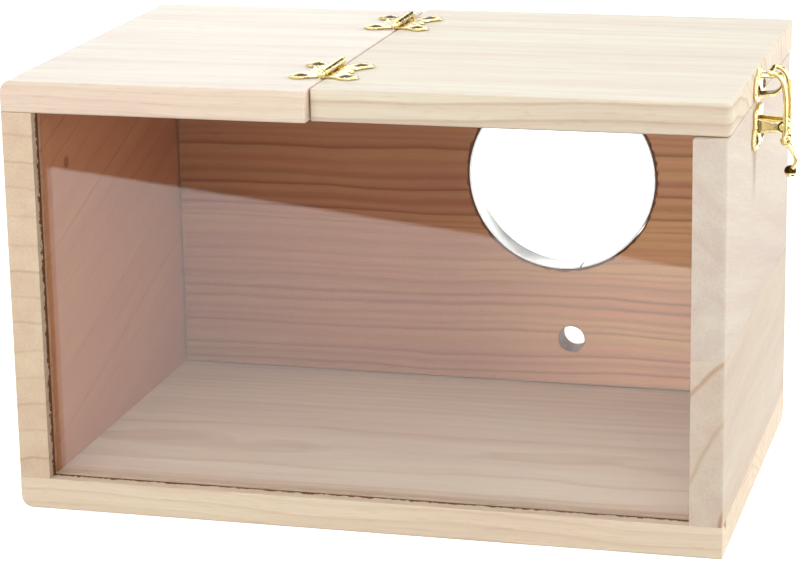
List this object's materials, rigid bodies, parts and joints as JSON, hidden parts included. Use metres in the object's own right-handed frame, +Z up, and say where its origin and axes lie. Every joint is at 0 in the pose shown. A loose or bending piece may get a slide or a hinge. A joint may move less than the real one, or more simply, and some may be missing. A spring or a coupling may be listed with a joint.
{
  "type": "parrot nest box",
  "caption": "Wooden nest box for small parrots with a clear front, a round entrance in the back, a hinged lid and a brass toggle latch.",
  "frame": {"origin": "middle of the underside of the floor board", "axes": "+Z up, the clear front faces -Y, the latch is on the +X end"},
  "size_m": [0.2119, 0.13, 0.1261],
  "materials": {
    "wood_light": "planed, unfinished",
    "acrylic": "clear, polished",
    "brass": "bright plated",
    "liner": "satin strip",
    "brad_steel": "plain"
  },
  "bodies": {
    "box": {"floor_board": "wood_light", "left_side_panel": "wood_light", "right_side_lower_board": "wood_light", "right_side_upper_board": "wood_light", "back_panel": "wood_light", "fixed_top_board": "wood_light", "window_pane": "acrylic", "entrance_liner": "liner", "floor_brad_left_1": "brad_steel", "floor_brad_left_2": "brad_steel", "floor_brad_left_3": "brad_steel", "floor_brad_right_1": "brad_steel", "floor_brad_right_2": "brad_steel", "floor_brad_right_3": "brad_steel", "floor_brad_back_1": "brad_steel", "floor_brad_back_2": "brad_steel", "floor_brad_back_3": "brad_steel", "front_hinge_fixed_leaf": "brass", "front_hinge_pin": "brass", "front_hinge_fixed_screw_front": "brass", "front_hinge_fixed_screw_rear": "brass", "rear_hinge_fixed_leaf": "brass", "rear_hinge_pin": "brass", "rear_hinge_fixed_screw_front": "brass", "rear_hinge_fixed_screw_rear": "brass", "latch_base_plate": "brass", "latch_base_screw_front": "brass", "latch_base_screw_rear": "brass", "latch_lever_pin": "brass"},
    "lid": {"lid_board": "wood_light", "front_hinge_lid_leaf": "brass", "rear_hinge_lid_leaf": "brass", "front_hinge_lid_screw_front": "brass", "front_hinge_lid_screw_rear": "brass", "rear_hinge_lid_screw_front": "brass", "rear_hinge_lid_screw_rear": "brass", "latch_catch_plate": "brass", "latch_catch_screw_front": "brass", "latch_catch_screw_rear": "brass"},
    "lever": {"latch_lever": "brass"},
    "bail": {"latch_bail": "brass"}
  },
  "joints": [
    {"name": "lid_hinge", "type": "hinge", "parent": "box", "child": "lid", "pos_m": [-0.0125, 0, 0.1249], "axis": [0, -1, 0], "range_deg": [0, 180]},
    {"name": "lever_pivot", "type": "hinge", "parent": "box", "child": "lever", "pos_m": [0.1078, -0.01, 0.1075], "axis": [0, -1, 0], "range_deg": [0, 150]},
    {"name": "bail_pivot", "type": "hinge", "parent": "lever", "child": "bail", "pos_m": [0.1083, -0.01, 0.1034], "axis": [0, 1, 0], "range_deg": [0, 210]}
  ],
  "couplings": [
    {"joint": "bail_pivot", "follows": "lever_pivot", "ratio": 1.4}
  ]
}
